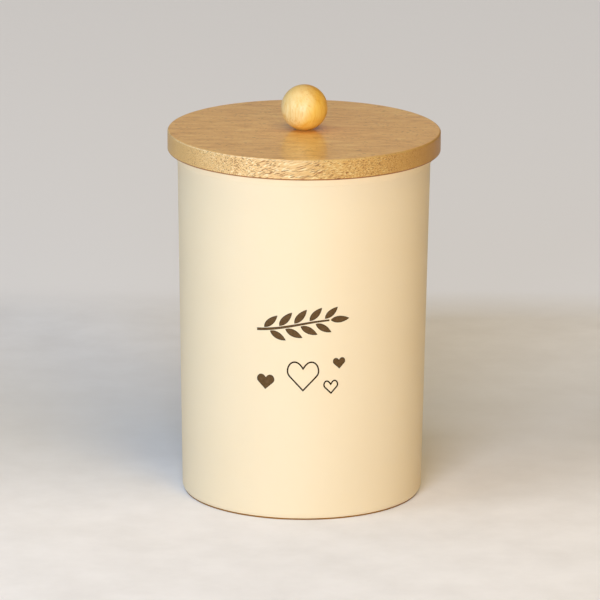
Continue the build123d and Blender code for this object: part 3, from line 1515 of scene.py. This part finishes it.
    def _leaf_outline(
        self, root: Vector, along: Vector, angle: float, size: float, side: float
    ) -> list[Knot]:
        """Outlines one pointed leaf.

        Args:
            root: Where the leaf meets the stem's middle line.
            along: The stem's direction there.
            angle: The leaf's angle from the stem, in degrees.
            size: Its length as a share of a full leaf.
            side: 1 above the stem, -1 below it, 0 at its end.

        Returns:
            The knots of a closed spline, each with both of its handles.
        """
        cos, sin = math.cos(math.radians(angle)), math.sin(math.radians(angle))
        out = Vector((along.x * cos - along.y * sin, along.x * sin + along.y * cos))
        beside = Vector((-out.y, out.x)) * self.leaf_width * size * self.leaf_belly
        start = root + Vector((-along.y, along.x)) * side * (self.stem_width * 0.5 + self.leaf_gap)
        length = out * self.leaf_length * size
        tip = start + length
        lower, upper = (length * share for share in self.root_handles)
        upper_end, lower_end = (length * share for share in self.tip_handles)
        narrow = beside * self.tip_belly
        return [
            [tuple(start), tuple(start + lower - beside), tuple(start + upper + beside)],
            [tuple(tip), tuple(tip - upper_end + narrow), tuple(tip - lower_end - narrow)],
        ]

    def _filled(self, name: str, outlines: Sequence[Sequence[Knot]]) -> Piece:
        """Draws closed outlines as a flat filled curve in the front plane, and makes it a mesh.

        Args:
            name: The piece's name.
            outlines: Closed splines, each a list of knots with the knot and its two handles.

        Returns:
            The flat mesh, open in edit mode.
        """
        curve = bpy.data.curves.new(name, "CURVE")
        curve.dimensions = "2D"
        curve.fill_mode = "BOTH"
        curve.resolution_u = self.curve_steps
        for outline in outlines:
            spline = curve.splines.new("BEZIER")
            spline.bezier_points.add(len(outline) - 1)
            spline.use_cyclic_u = True
            for point, (knot, before, after) in zip(spline.bezier_points, outline):
                point.co = (*knot, 0.0)
                point.handle_left = (*before, 0.0)
                point.handle_right = (*after, 0.0)
        flat = bpy.data.objects.new(name, curve)
        bpy.context.scene.collection.objects.link(flat)
        flat.rotation_euler = (math.radians(90), 0.0, 0.0)
        pick(flat)
        bpy.ops.object.convert(target="MESH")
        flat = bpy.context.object
        flat.data.name = name
        settle(flat)
        edit(flat)
        merge_doubles()
        bpy.ops.mesh.dissolve_limited(angle_limit=math.radians(0.5))
        return flat

    def _keep_line(self, line: float) -> None:
        """Leaves only an even line along the edge of the flat shape that is open in edit mode.

        Args:
            line: The line's width.
        """
        bpy.ops.mesh.select_mode(type="FACE")
        select_mesh()
        bpy.ops.mesh.inset(thickness=line, use_boundary=True, use_even_offset=True)
        bpy.ops.mesh.delete(type="FACE")
        bpy.ops.mesh.select_mode(type="VERT")

    def _laid_on(self, flat: Piece, pale_core: bool = True) -> Piece:
        """Marks the inside of a flat shape, cuts it into upright strips and lays it on the can.

        Args:
            flat: The flat mesh, in edit mode.
            pale_core: Whether the ink turns paler away from the shape's edge. A thin line stays dark.

        Returns:
            The printed shape as a thin closed mesh.
        """
        bpy.ops.mesh.select_mode(type="FACE")
        select_mesh()
        bpy.ops.mesh.inset(thickness=self.edge, use_boundary=True, use_even_offset=True)
        bpy.ops.mesh.select_mode(type="VERT")
        across = [vertex.co.x for vertex in bmesh.from_edit_mesh(flat.data).verts]
        first, last = math.ceil(min(across) / self.strip), math.floor(max(across) / self.strip)
        for number in range(first, last + 1):
            select_mesh()
            bpy.ops.mesh.bisect(plane_co=(number * self.strip, 0.0, 0.0), plane_no=(1.0, 0.0, 0.0))
        merge_doubles()
        shape = bmesh.from_edit_mesh(flat.data)
        inside = shape.verts.layers.float.new("inside")
        for vertex in shape.verts:
            vertex[inside] = 1.0 if pale_core and not vertex.is_boundary else 0.0
            radius = self.can.outside(vertex.co.z) - self.sink
            vertex.co.y = -math.sqrt(radius**2 - vertex.co.x**2)
        bmesh.update_edit_mesh(flat.data)
        face_outwards()
        deselect_everything()
        facing = sum(polygon.normal.y * polygon.area for polygon in flat.data.polygons)
        apply_modifier(flat, "SOLIDIFY", thickness=self.thickness, offset=1.0 if facing < 0 else -1.0)
        smooth(flat, 40.0)
        return flat


@dataclass(frozen=True)
class SoftBox:
    """One soft light that faces the object, with its power in watts.

    The azimuth is in degrees to the left of the camera's side, seen from above, and the elevation in
    degrees above the table.
    """

    name: str
    azimuth: float
    elevation: float
    distance: float
    size: Point
    power: float
    colour: Vec


@dataclass
class Stage:
    """The pale table and backdrop, the soft studio light and the camera."""

    half_width: float = 4.0
    back: float = 2.6
    wall_height: float = 3.0
    sky: Colour = srgb(214, 212, 210)
    sky_strength: float = 0.03
    lit_height: float = 0.08
    soft_boxes: tuple[SoftBox, ...] = (
        SoftBox("front", 10.0, 12.0, 1.6, (0.9, 0.7), 17.3, (0.63, 0.77, 1.0)),
        SoftBox("front_right", -25.0, 12.0, 1.6, (0.7, 0.7), 6.1, (1.0, 0.67, 0.12)),
        SoftBox("high_front", -10.0, 60.0, 1.6, (0.9, 0.9), 3.8, (1.0, 0.69, 0.3)),
        SoftBox("high_right", -60.0, 70.0, 1.6, (0.8, 0.8), 5.2, (1.0, 0.8, 0.5)),
        SoftBox("high_left", 90.0, 70.0, 1.6, (0.8, 0.8), 5.0, (0.86, 0.93, 1.0)),
        SoftBox("left", 60.0, 20.0, 1.6, (0.7, 0.7), 6.1, (0.68, 0.83, 0.95)),
        SoftBox("high_back", 180.0, 60.0, 1.8, (0.9, 0.9), 1.9, (1.0, 0.86, 0.7)),
    )
    aim: Vec = (-0.0013, 0.0, 0.0844)
    distance: float = 2.404
    pitch_degrees: float = 14.64
    roll_degrees: float = 0.40
    focal_pixels: float = 5525.0
    frame_pixels: float = 600.0
    sensor_mm: float = 36.0

    def build(self) -> None:
        """Makes the floor, the lights and the camera."""
        self.floor()
        self.world()
        for soft_box in self.soft_boxes:
            self.light(soft_box)
        self.camera()

    def floor(self) -> None:
        """Makes the table and the backdrop upright at its back, shaded as one smooth surface."""
        deselect_everything()
        bpy.ops.mesh.primitive_plane_add(
            size=2 * self.half_width, location=(0.0, self.back - self.half_width, 0.0)
        )
        floor = bpy.context.object
        floor.name = floor.data.name = "table_and_backdrop"
        settle(floor)
        edit(floor)
        bpy.ops.mesh.select_all(action="DESELECT")
        shape = bmesh.from_edit_mesh(floor.data)
        for edge in shape.edges:
            edge.select_set(all(abs(vertex.co.y - self.back) < MERGE_DISTANCE for vertex in edge.verts))
        bmesh.update_edit_mesh(floor.data)
        bpy.ops.mesh.extrude_region_move(TRANSFORM_OT_translate={"value": (0.0, 0.0, self.wall_height)})
        pick(floor)
        bpy.ops.object.shade_smooth()
        floor.data.materials.append(STAGE.material())

    def world(self) -> None:
        """Sets the even light from all round."""
        world = bpy.data.worlds.new("studio")
        bpy.context.scene.world = world
        world.use_nodes = True
        background = world.node_tree.nodes["Background"]
        background.inputs[0].default_value = self.sky
        background.inputs[1].default_value = self.sky_strength

    def light(self, soft_box: SoftBox) -> None:
        """Adds one soft box.

        Args:
            soft_box: Its place, size, power and colour.
        """
        data = bpy.data.lights.new(soft_box.name, "AREA")
        data.shape = "RECTANGLE"
        data.size, data.size_y = soft_box.size
        data.energy = soft_box.power
        data.color = soft_box.colour
        lamp = bpy.data.objects.new(soft_box.name, data)
        lamp.visible_camera = False
        bpy.context.scene.collection.objects.link(lamp)
        turn, rise = math.radians(soft_box.azimuth), math.radians(soft_box.elevation)
        away = Vector((-math.sin(turn) * math.cos(rise), -math.cos(turn) * math.cos(rise), math.sin(rise)))
        lamp.location = Vector((0.0, 0.0, self.lit_height)) + away * soft_box.distance
        lamp.rotation_euler = away.to_track_quat("Z", "Y").to_euler()

    def camera(self) -> None:
        """Sets the camera at the photograph's viewing angle."""
        data = bpy.data.cameras.new("camera")
        data.sensor_width = self.sensor_mm
        data.lens = self.focal_pixels / self.frame_pixels * self.sensor_mm
        pitch, roll = math.radians(self.pitch_degrees), math.radians(self.roll_degrees)
        forward = Vector((0.0, math.cos(pitch), -math.sin(pitch)))
        level = Vector((1.0, 0.0, 0.0))
        lifted = level.cross(forward)
        right = level * math.cos(roll) + lifted * math.sin(roll)
        up = right.cross(forward)
        camera = bpy.data.objects.new("camera", data)
        bpy.context.scene.collection.objects.link(camera)
        turned = Matrix((right, up, -forward)).transposed().to_4x4()
        camera.matrix_world = Matrix.Translation(Vector(self.aim) - forward * self.distance) @ turned
        bpy.context.scene.camera = camera
        bpy.context.scene.view_settings.view_transform = "Standard"


def main() -> None:
    """Builds the can, its print, the lid and the stage."""
    logging.basicConfig(level=logging.INFO, format="%(name)s: %(message)s")
    can = Can()
    can.build()
    Print(can).build()
    Lid().build()
    Stage().build()


if __name__ == "__main__":
    main()
